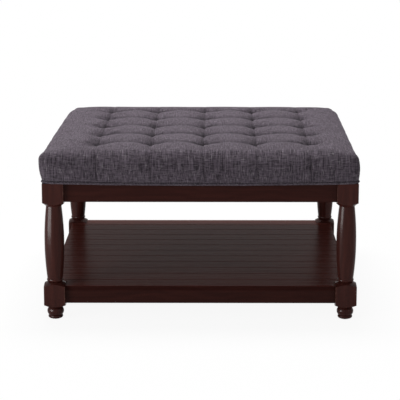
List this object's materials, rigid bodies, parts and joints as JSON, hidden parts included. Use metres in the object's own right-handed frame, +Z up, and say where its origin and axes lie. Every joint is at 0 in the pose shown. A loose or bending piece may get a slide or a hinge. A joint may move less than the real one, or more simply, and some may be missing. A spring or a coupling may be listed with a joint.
{
  "type": "ottoman coffee table",
  "caption": "Square ottoman coffee table: blind-tufted fabric cushion on turned wooden legs with aprons, over a slatted lower shelf.",
  "frame": {"origin": "on the floor, under the centre of the table", "axes": "+Z up from the floor; +X to the right seen from the front; the front faces -Y"},
  "size_m": [0.813, 0.813, 0.4453],
  "materials": {
    "dark_wood": "satin espresso stain and lacquer",
    "bare_wood": "bare hardwood, sawn",
    "plywood": "bare plywood",
    "linen": "charcoal linen weave",
    "foam": "polyurethane foam",
    "black_cambric": "non-woven dust cloth",
    "twine": "waxed twine",
    "zinc_steel": "zinc plated",
    "nylon": "moulded nylon"
  },
  "bodies": {
    "root": {"apron_bolt_washers": "zinc_steel", "apron_brace_front_left": "bare_wood", "apron_brace_front_right": "bare_wood", "apron_brace_rear_left": "bare_wood", "apron_brace_rear_right": "bare_wood", "apron_front": "dark_wood", "apron_hanger_bolts": "zinc_steel", "apron_left": "dark_wood", "apron_rear": "dark_wood", "apron_right": "dark_wood", "apron_wing_nuts": "zinc_steel", "cover_staples": "zinc_steel", "cover_welt": "linen", "cushion_cover": "linen", "dust_cover": "black_cambric", "dust_cover_staples": "zinc_steel", "floor_glides": "nylon", "foam_pad": "foam", "leg_front_left": "dark_wood", "leg_front_right": "dark_wood", "leg_rear_left": "dark_wood", "leg_rear_right": "dark_wood", "seat_board": "plywood", "seat_screws": "zinc_steel", "shelf_batten": "bare_wood", "shelf_board_01": "dark_wood", "shelf_board_02": "dark_wood", "shelf_board_03": "dark_wood", "shelf_board_04": "dark_wood", "shelf_board_05": "dark_wood", "shelf_board_06": "dark_wood", "shelf_board_07": "dark_wood", "shelf_board_08": "dark_wood", "shelf_board_09": "dark_wood", "shelf_board_10": "dark_wood", "shelf_board_11": "dark_wood", "shelf_board_12": "dark_wood", "shelf_bolt_washers": "zinc_steel", "shelf_brace_front_left": "bare_wood", "shelf_brace_front_right": "bare_wood", "shelf_brace_rear_left": "bare_wood", "shelf_brace_rear_right": "bare_wood", "shelf_brads": "zinc_steel", "shelf_hanger_bolts": "zinc_steel", "shelf_rail_front": "dark_wood", "shelf_rail_left": "dark_wood", "shelf_rail_rear": "dark_wood", "shelf_rail_right": "dark_wood", "shelf_wing_nuts": "zinc_steel", "tufting_twines": "twine"}
  },
  "joints": []
}
